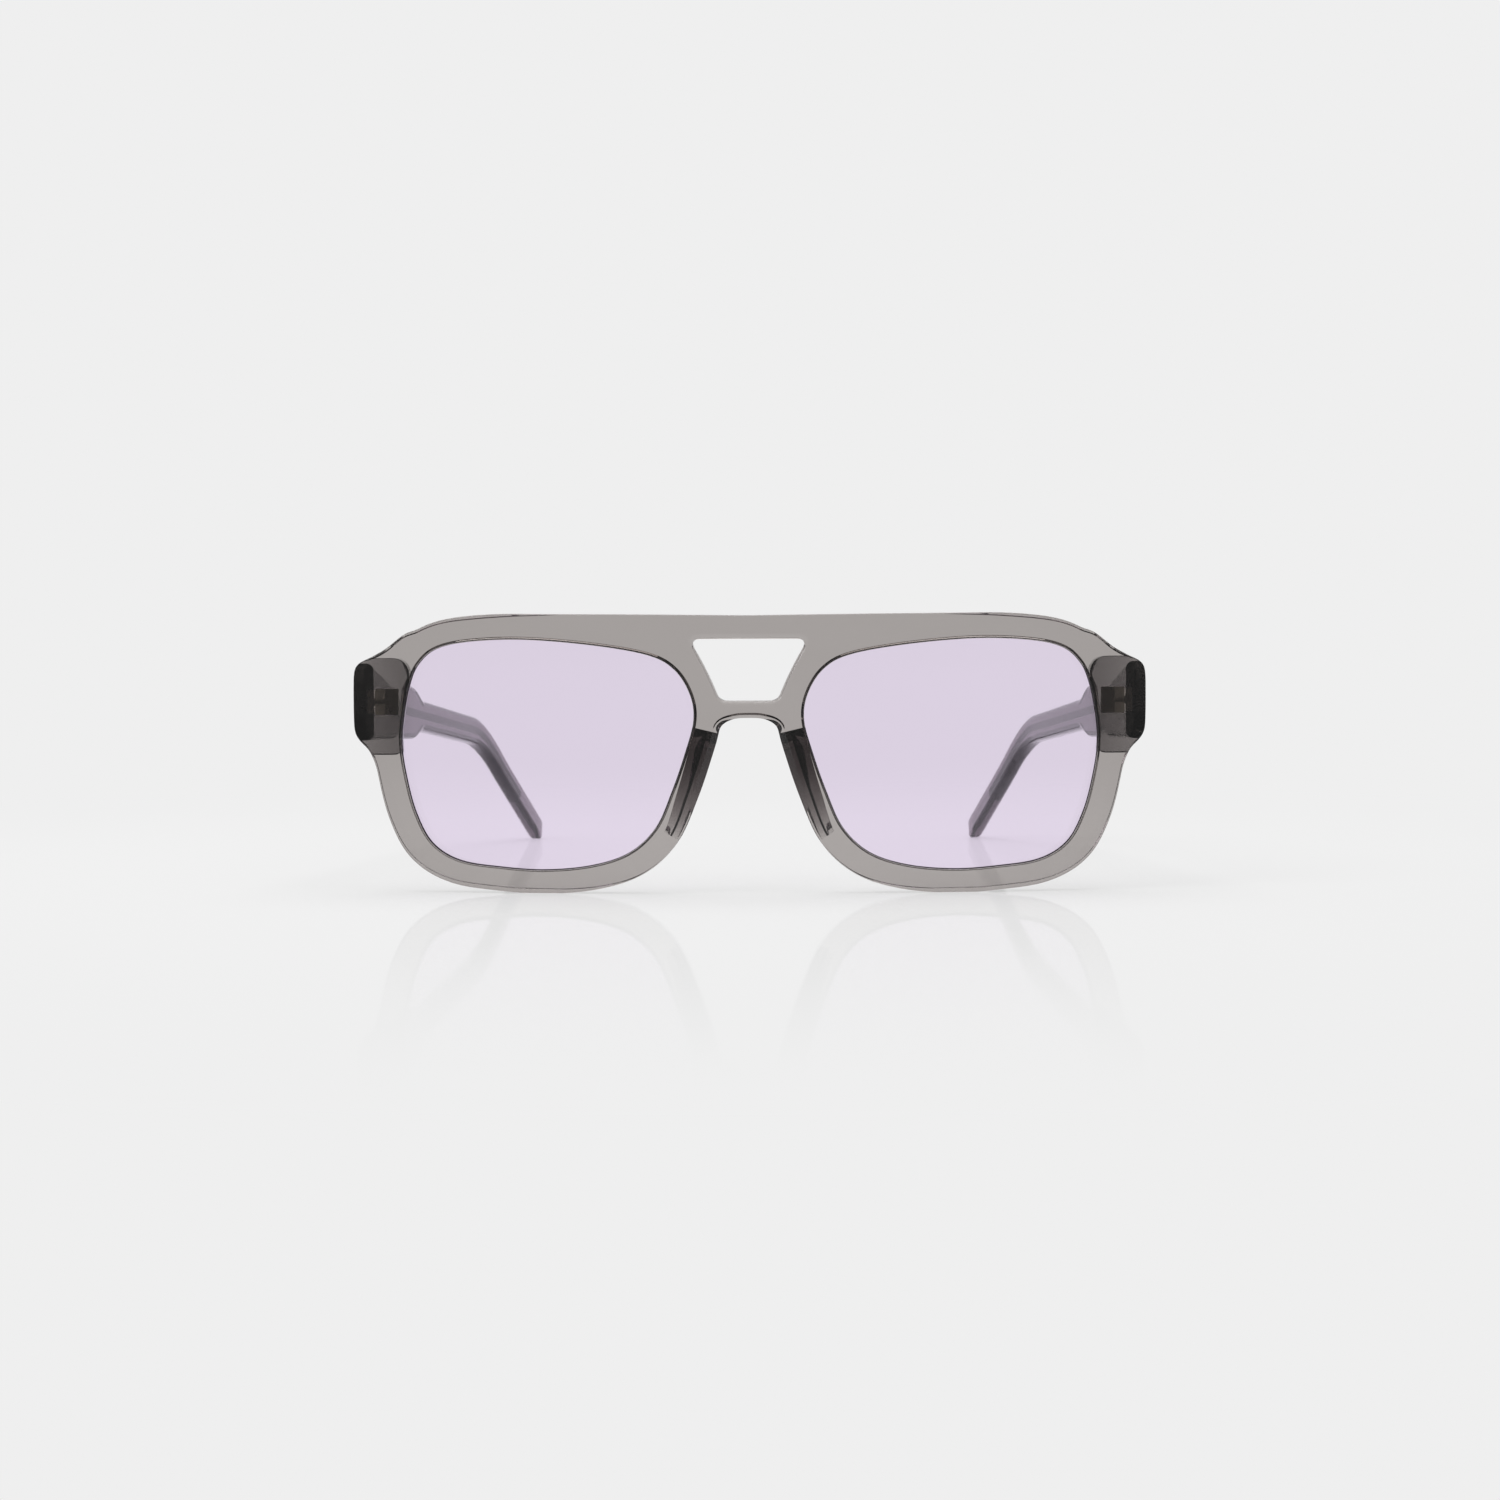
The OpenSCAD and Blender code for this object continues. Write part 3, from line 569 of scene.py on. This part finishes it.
def pad_ring(t):
    """Points round a pad, at a share of the way from its top to its foot."""
    along = unit(pad_edge(min(t + PAD_REACH, 1)) - pad_edge(max(t - PAD_REACH, 0)))
    into = np.array([-along[1], along[0]])
    deep, splay = PAD_DEPTH * pad_swell(t), PAD_SPLAY * pad_swell(t)
    wide = mix(PAD_W, PAD_W * PAD_FOOT_W, t * t)
    corner = min(PAD_ROUND, deep * 0.4, (wide - PAD_INSET - splay) * 0.4)
    shape = rounded([
        (PAD_INSET, 0), (wide, 0), (wide, deep), (PAD_INSET + splay, deep),
    ], (0, 0, corner, corner * 1.6), CORNER_STEPS)[0][CORNER_STEPS + 1:]
    shape = np.concatenate([shape[CORNER_STEPS:], [(PAD_INSET, 0)]])
    flat = pad_edge(t) + into * shape[:, :1]
    y = wrapped_y(flat[:, 0], FRONT_T + BOND_GAP) + shape[:, 1]
    return np.stack([flat[:, 0], y, flat[:, 1]], 1)


def nose_pad(name, side):
    rings = [pad_ring(k / PAD_STEPS) for k in range(PAD_STEPS + 1)]
    arounds = [np.gradient(ring, axis=0) for ring in rings]
    return loft(rings, arounds, ((0, 0, 1), (0, 0, -1))).piece(name, side)


def fall(s):
    return math.radians(mix(ARM_FALL, DROP_FALL, np.clip((s - BEND_AT) / BEND_L, 0, 1)))


def lean(s):
    run = (s - BEND_AT + LEAN_LEAD) / (BEND_L + LEAN_LEAD + LEAN_TAIL)
    return math.radians(mix(ARM_LEAN, DROP_LEAN, ease(run)))


def heading(s):
    """Direction of a temple's middle line at a distance s from its butt end."""
    return np.array([
        -math.sin(lean(s)) * math.cos(fall(s)),
        math.cos(lean(s)) * math.cos(fall(s)),
        -math.sin(fall(s)),
    ])


ARM_AT, TIP_STEPS = STEP_AT + STEP_L, 10
arm, drop = math.radians(ARM_FALL), math.radians(DROP_FALL)
bend_z = HINGE_Z - BEND_AT * math.sin(arm) - BEND_L * (math.cos(arm) - math.cos(drop)) / (drop - arm)
tip_z = math.hypot(TIP_ROUND * math.sin(drop), TEMPLE_TIP_H / 2 * math.cos(drop)) - FOOT_D
tip_at = BEND_AT + BEND_L + (bend_z - tip_z) / math.sin(drop)


def temple_h(s):
    if s < STEP_AT:
        return mix(TEMPLE_BUTT_H, TEMPLE_STEP_H, s / STEP_AT)
    if s < ARM_AT:
        return mix(TEMPLE_STEP_H, TEMPLE_ARM_H, ease((s - STEP_AT) / STEP_L))
    return mix(TEMPLE_ARM_H, TEMPLE_TIP_H, min((s - ARM_AT) / (tip_at - ARM_AT), 1))


def temple_w(s):
    return mix(TEMPLE_T, TEMPLE_DROP_T, ease((s - BEND_AT) / BEND_L))


def temple_stations():
    """Distances along a temple at which its section is drawn."""
    bend_from, bend_to = BEND_AT - LEAN_LEAD, BEND_AT + BEND_L + LEAN_TAIL
    stops = [
        (BUTT_ROUND, STEP_AT, 8), (STEP_AT, ARM_AT, 20), (ARM_AT, bend_from, 12),
        (bend_from, bend_to, 36), (bend_to, tip_at, 6),
    ]
    butt = [BUTT_ROUND * share for share in (0, 0.1, 0.3, 0.6)]
    spans = [np.linspace(a, b, n, endpoint=False) for a, b, n in stops]
    tip = [tip_at + TIP_ROUND * math.sin(k / TIP_STEPS * math.pi / 2) for k in range(TIP_STEPS)]
    return [*butt, *np.concatenate(spans), *tip]


def temple(name, side):
    stations = temple_stations()
    at = np.array([END_X - TEMPLE_T / 2, BUTT_Y + BUTT_GAP, HINGE_Z])
    rings, arounds = [], []
    for last, s in zip([0, *stations], stations):
        at = at + heading((last + s) / 2) * (s - last)
        turn, tip = lean(s) - math.radians(ARM_LEAN), fall(s) - arm
        across = np.array([math.cos(turn), math.sin(turn), 0])
        upward = np.array([0, math.sin(tip), math.cos(tip)])
        drawn = 1 if s < tip_at else math.sqrt(1 - ((s - tip_at) / TIP_ROUND) ** 2)
        cut = BUTT_ROUND - math.sqrt(BUTT_ROUND ** 2 - max(BUTT_ROUND - s, 0) ** 2)
        a, b = (temple_w(s) / 2 - PROUD) * drawn - cut, temple_h(s) / 2 * drawn - cut
        flat, out = rounded([(a, -b), (a, b), (-a, b), (-a, -b)], TEMPLE_ROUND * drawn, CORNER_STEPS)
        ring = at + flat[:, :1] * across + flat[:, 1:] * upward
        ring[:, 2] = np.maximum(ring[:, 2], 0)
        rings.append(ring)
        arounds.append(out[:, :1] * upward - out[:, 1:] * across)
    return loft(rings, arounds, (-heading(0), heading(stations[-1]))).piece(name, side)


class Field:
    """The number that a socket gives at each place, with sums on it as Math nodes."""

    def __init__(self, tree, socket):
        self.tree, self.socket = tree, socket

    def sum(self, operation, *values):
        return self.tree.field("ShaderNodeMath", {"operation": operation}, dict(enumerate(values)))

    def __add__(self, other):
        return self.sum("ADD", self, other)

    def __radd__(self, other):
        return self.sum("ADD", other, self)

    def __rsub__(self, other):
        return self.sum("SUBTRACT", other, self)

    def __mul__(self, other):
        return self.sum("MULTIPLY", self, other)

    def __rmul__(self, other):
        return self.sum("MULTIPLY", other, self)

    def most(self, other):
        return self.sum("MAXIMUM", self, other)

    def above(self, level):
        return self.sum("GREATER_THAN", self, level)


SMOOTH = {"interpolation_type": "SMOOTHSTEP"}


class Tree:
    """A node tree that is written as calls and sums."""

    def __init__(self, owner):
        owner.use_nodes = True
        self.tree = owner.node_tree
        self.tree.nodes.clear()

    def node(self, kind, settings, inputs):
        made = self.tree.nodes.new(kind)
        for name, value in settings.items():
            setattr(made, name, value)
        for name, value in inputs.items():
            if isinstance(value, Field):
                value = value.socket
            if isinstance(value, bpy.types.NodeSocket):
                self.tree.links.new(value, made.inputs[name])
            else:
                made.inputs[name].default_value = value
        return made

    def field(self, kind, settings, inputs, output=0):
        return Field(self, self.node(kind, settings, inputs).outputs[output])

    def place(self):
        """Where a point of the surface is in its own piece, in metres."""
        return self.node("ShaderNodeTexCoord", {}, {}).outputs["Object"]

    def noise(self, scale, detail, stretch=(1, 1, 1)):
        where = {"Vector": self.place(), "Scale": stretch}
        spot = self.node("ShaderNodeMapping", {}, where).outputs[0]
        pattern = {"Vector": spot, "Scale": scale, "Detail": detail}
        return self.field("ShaderNodeTexNoise", {}, pattern)

    def ramp(self, value, start, end, low, high):
        """From low to high, eased, as a value goes from start to end."""
        return self.field("ShaderNodeMapRange", SMOOTH, {
            "Value": value, "From Min": start, "From Max": end, "To Min": low, "To Max": high,
        })

    def path(self):
        """What is known of a ray of light, by name."""
        node = self.node("ShaderNodeLightPath", {}, {})
        return {socket.name: Field(self, socket) for socket in node.outputs}

    def blend(self, amount, a, b):
        made = self.node("ShaderNodeMix", {"data_type": "RGBA"}, {0: amount, 6: a, 7: b})
        return made.outputs[2]

    def surface(self, shader, volume=None):
        inputs = {"Surface": shader} | ({"Volume": volume} if volume else {})
        self.node("ShaderNodeOutputMaterial", {}, inputs)


def grey(level):
    return (level, level, level, 1.0)


# Sizes of the surface patterns, in waves per metre
MARBLING_SCALE, POLISH_SCALE, SWELL_SCALE = 55.0, 900.0, 140.0
GRIT_SCALE, DRAWN_SCALE, WEAR_SCALE = 2500.0, 1500.0, 420.0
# Density at which every plastic's absorption can be written as a colour
DENSITY = 2000.0


def clear_finish(name, absorbed, index, cloud, wave):
    """Polished clear plastic: absorbed is what each colour loses in a millimetre, in nepers, cloud
    the depth of its faint marbling and wave the unevenness left by polishing."""
    made = bpy.data.materials.new(name)
    tree = Tree(made)
    marbling = tree.noise(MARBLING_SCALE, 4.0, (1, 1, 2.2))
    polish = tree.noise(POLISH_SCALE, 3.0)
    swell = tree.noise(SWELL_SCALE, 1.0)
    colour = tree.blend(marbling, grey(1.0), (1 - cloud, 1 - cloud * 1.1, 1 - cloud * 1.15, 1.0))
    bump = tree.node("ShaderNodeBump", {}, {
        "Strength": wave, "Distance": 0.0002, "Height": swell + polish * 0.02,
    })
    shader = tree.node("ShaderNodeBsdfPrincipled", {}, {
        "Base Color": colour, "Roughness": 0.012 + polish * 0.03, "IOR": index,
        "Transmission Weight": 1.0, "Normal": bump.outputs[0],
    })
    taken = tree.node("ShaderNodeVolumeAbsorption", {}, {
        "Color": tuple(1 - a / MM / DENSITY for a in absorbed) + (1.0,), "Density": DENSITY,
    })
    tree.surface(shader.outputs[0], taken.outputs[0])
    return made


def groove_shade_finish(name, colour):
    """Lens material that is left dull by the edging wheel, and made dark as painted shade of the
    groove that it stands in.
    """
    made = bpy.data.materials.new(name)
    tree = Tree(made)
    grit = tree.noise(GRIT_SCALE, 2.0)
    darker = tuple(c * 0.8 for c in colour)
    shader = tree.node("ShaderNodeBsdfPrincipled", {}, {
        "Base Color": tree.blend(grit, (*colour, 1.0), (*darker, 1.0)), "Roughness": 0.5 + grit * 0.2,
    })
    tree.surface(shader.outputs[0])
    return made


def metal_finish(name, colour, roughness, grain):
    """Bare metal with fine drawn lines, stretched by grain, and duller worn patches."""
    made = bpy.data.materials.new(name)
    tree = Tree(made)
    lines = tree.noise(DRAWN_SCALE, 3.0, grain)
    wear = tree.noise(WEAR_SCALE, 3.0)
    dull = tuple(c * 0.72 for c in colour)
    bump = tree.node("ShaderNodeBump", {}, {"Strength": 0.25, "Distance": 0.00003, "Height": lines})
    shader = tree.node("ShaderNodeBsdfPrincipled", {}, {
        "Base Color": tree.blend(wear * 0.8 + lines * 0.2, (*colour, 1.0), (*dull, 1.0)),
        "Metallic": 1.0, "Roughness": roughness + wear * 0.12 + lines * 0.06,
        "Normal": bump.outputs[0],
    })
    tree.surface(shader.outputs[0])
    return made


# What each plastic takes from red, green and blue light in a millimetre, in nepers; the block, pad
# and temple takes are raised above the front's as painted shade
ACETATE_TAKES = (0.17, 0.185, 0.191)
BLOCK_SHADED_TAKES = (0.3, 0.31, 0.305)
PAD_SHADED_TAKES = (0.48, 0.52, 0.51)
TEMPLE_SHADED_TAKES = (0.36, 0.4, 0.37)
LENS_TAKES = (0.073, 0.127, 0.042)
ACETATE_INDEX, LENS_INDEX, MARBLING, POLISH_WAVE = 1.49, 1.5, 0.05, 0.06


def acetate_finish(name, takes):
    return clear_finish(name, takes, ACETATE_INDEX, MARBLING, POLISH_WAVE)


acetate = acetate_finish("grey_acetate", ACETATE_TAKES)
# The block, pad and temple finishes are denser copies of the front's acetate: their extra darkness is
# painted shade
block_shaded_acetate = acetate_finish("block_shaded_grey_acetate", BLOCK_SHADED_TAKES)
pad_shaded_acetate = acetate_finish("pad_shaded_grey_acetate", PAD_SHADED_TAKES)
temple_shaded_acetate = acetate_finish("temple_shaded_grey_acetate", TEMPLE_SHADED_TAKES)
lilac = clear_finish("lilac_lens", LENS_TAKES, LENS_INDEX, 0.01, 0.0)
# The lenses' ground edges are painted dark: painted shade of the grooves they sit in
groove_shaded_lens_edge = groove_shade_finish("groove_shaded_lens_edge", (0.08, 0.07, 0.09))
leaf_metal = metal_finish("nickel_silver", (0.92, 0.87, 0.76), 0.2, (1, 0.1, 1))
screw_metal = metal_finish("turned_steel", (0.66, 0.65, 0.63), 0.16, (1, 1, 6))
wire_metal = metal_finish("drawn_wire", (0.06, 0.055, 0.06), 0.4, (1, 0.04, 1))


def dress(piece, body, replaced, slot, *materials):
    for material in materials:
        piece.data.materials.append(material)
    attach(piece, body)
    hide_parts(replaced)


dress(acetate_front(), "front_frame", "front", "acetate", acetate)
for word, side in SIDES.items():
    lens = tinted_lens(f"tinted_lens_{word}", side)
    dress(lens, "front_frame", f"lens_{word}", "lens_tint", lilac, groove_shaded_lens_edge)
    block = end_block(f"acetate_end_block_{word}", side)
    dress(block, "front_frame", f"end_block_{word}", "acetate", block_shaded_acetate)
    pad = nose_pad(f"acetate_nose_pad_{word}", side)
    dress(pad, "front_frame", f"nose_pad_{word}", "acetate", pad_shaded_acetate)
    arm_piece = temple(f"acetate_temple_{word}", side)
    dress(arm_piece, f"{word}_temple", f"temple_{word}", "acetate", temple_shaded_acetate)

# Finish of each metal piece, and the width of its worn edges
METAL_EDGES = {
    "front_hinge": (leaf_metal, 0.12), "temple_hinge": (leaf_metal, 0.12),
    "hinge_screw": (screw_metal, 0.05), "core_wire": (wire_metal, 0.3),
}
for kind, (material, edge) in METAL_EDGES.items():
    for word in SIDES:
        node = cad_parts[f"{kind}_{word}"]
        node.data.materials.clear()
        node.data.materials.append(material)
        bevel = node.modifiers.new("worn edges", "BEVEL")
        bevel.width, bevel.segments, bevel.limit_method = edge * MM, 3, "ANGLE"
        bevel.harden_normals = True


def is_seen(path):
    """1 for rays that show the studio to the camera, 0 for rays that only light the objects."""
    rays = [path[f"Is {kind} Ray"] for kind in ("Camera", "Glossy", "Transmission")]
    return rays[0].most(rays[1]).most(rays[2])


def is_mirrored(path):
    return path["Glossy Depth"].above(0.5)


FLOOR_HALF, FLOOR_DROP = 6.0, 0.00003
SHADOW_NEAR, SHADOW_FAR, SHADOW_SHARE = 0.09, 0.3, 0.35
MIRROR_SHARE, MIRROR_ROUGHNESS = 0.13, 0.04
# From where to where along y the floor before the glasses goes dim
FLOOR_BEFORE = (-0.2, -0.6)


def stage_floor():
    """A pale floor that looks even, with the shadow and a faint mirror image near the object. The
    glasses mirror it dimmer where it lies before them."""
    ways = ((-1, -1), (1, -1), (1, 1), (-1, 1))
    corners = [(x * FLOOR_HALF, y * FLOOR_HALF, -FLOOR_DROP) for x, y in ways]
    mesh = bpy.data.meshes.new("floor")
    mesh.from_pydata(corners, [], [(0, 1, 2, 3)])
    floor = bpy.data.objects.new("floor", mesh)
    bpy.context.scene.collection.objects.link(floor)
    made = bpy.data.materials.new("pale_floor")
    tree = Tree(made)
    path = tree.path()
    seen = is_seen(path)
    spot = tree.place()
    away = tree.field("ShaderNodeVectorMath", {"operation": "LENGTH"}, {0: spot}, "Value")
    near = tree.ramp(away, SHADOW_NEAR, SHADOW_FAR, 1.0, 0.0)
    y = tree.node("ShaderNodeSeparateXYZ", {}, {0: spot}).outputs["Y"]
    before = tree.ramp(y, *FLOOR_BEFORE, 0.0, MIRROR_DIM)
    lit = tree.node("ShaderNodeBsdfDiffuse", {}, {"Color": grey(PALE)}).outputs[0]
    glow = tree.node("ShaderNodeEmission", {}, {
        "Color": grey(PALE), "Strength": 1 - is_mirrored(path) * before,
    }).outputs[0]
    mirror = tree.node("ShaderNodeBsdfGlossy", {}, {
        "Color": grey(1.0), "Roughness": MIRROR_ROUGHNESS,
    }).outputs[0]
    even = tree.node("ShaderNodeMixShader", {}, {
        0: seen * (1 - near * SHADOW_SHARE), 1: lit, 2: glow,
    }).outputs[0]
    floor_look = tree.node("ShaderNodeMixShader", {}, {
        0: seen * near * MIRROR_SHARE, 1: even, 2: mirror,
    }).outputs[0]
    tree.surface(floor_look)
    mesh.materials.append(made)


# Levels of the room that is seen by what is turned back inside the plastic, and of the light that
# falls on matt surfaces
DARK_LEVEL, ROOF_LEVEL, DOOR_LEVEL, LIGHT_LEVEL = 0.03, 0.3, 0.15, 0.5
# From where to where along the way of a ray, of length 1, each of them comes in
WALL_AT, ROOF_AT, DOOR_AT, BEFORE_AT = (0.65, 0.85), (0.5, 0.9), (-0.5, -0.9), (-0.3, -0.8)


def studio_world():
    """Pale wherever it is seen straight or through a pane, dimmer where the faces mirror what lies
    before them, and a dark room with a bright wall for what is turned back inside the plastic."""
    world = bpy.data.worlds.new("studio")
    bpy.context.scene.world = world
    tree = Tree(world)
    path = tree.path()
    seen = is_seen(path)
    turned = is_mirrored(path) * path["Transmission Depth"].above(0.5)
    way = tree.node("ShaderNodeTexCoord", {}, {}).outputs["Generated"]
    parts = tree.node("ShaderNodeSeparateXYZ", {}, {0: way}).outputs
    wall = tree.ramp(parts["Y"], *WALL_AT, DARK_LEVEL, PALE)
    roof = tree.ramp(parts["Z"], *ROOF_AT, 0.0, ROOF_LEVEL)
    door = tree.ramp(parts["Y"], *DOOR_AT, 0.0, DOOR_LEVEL)
    before = tree.ramp(parts["Y"], *BEFORE_AT, 0.0, MIRROR_DIM)
    room = wall.most(roof).most(door)
    plain = PALE * (1 - is_mirrored(path) * before)
    level = seen * (turned * room + (1 - turned) * plain) + (1 - seen) * LIGHT_LEVEL
    light = tree.node("ShaderNodeBackground", {}, {"Color": grey(1.0), "Strength": level})
    tree.node("ShaderNodeOutputWorld", {}, {"Surface": light.outputs[0]})


LAMP_AIM_Z = 0.02


def lamp(name, place, size, power):
    """A soft square lamp that looks at the middle of the glasses."""
    light = bpy.data.lights.new(name, "AREA")
    light.size, light.energy = size, power
    made = bpy.data.objects.new(name, light)
    made.location = place
    towards = Vector((0, 0, LAMP_AIM_Z)) - Vector(place)
    made.rotation_euler = towards.to_track_quat("-Z", "Y").to_euler()
    bpy.context.scene.collection.objects.link(made)


def photo_camera():
    camera = bpy.data.cameras.new("camera")
    camera.sensor_width = SENSOR_W
    camera.lens = FOCAL_PX / PHOTO_PX * SENSOR_W
    camera.clip_start, camera.clip_end = 0.01, 20.0
    made = bpy.data.objects.new("camera", camera)
    made.location = (CAMERA_X * MM, -(CAMERA_AWAY + MID_Y) * MM, CAMERA_Z * MM)
    pitch = math.atan((PHOTO_PX / 2 - HORIZON_PX) / FOCAL_PX)
    made.rotation_euler = (math.pi / 2 - pitch, math.radians(CAMERA_ROLL), math.radians(CAMERA_YAW))
    bpy.context.scene.collection.objects.link(made)
    bpy.context.scene.camera = made


stage_floor()
studio_world()
lamp("overhead", (0.0, 0.1, 0.9), 0.9, 5.0)
lamp("key", (-0.7, -0.5, 0.7), 0.5, 2.0)
photo_camera()
bpy.context.scene.view_settings.view_transform = "Standard"
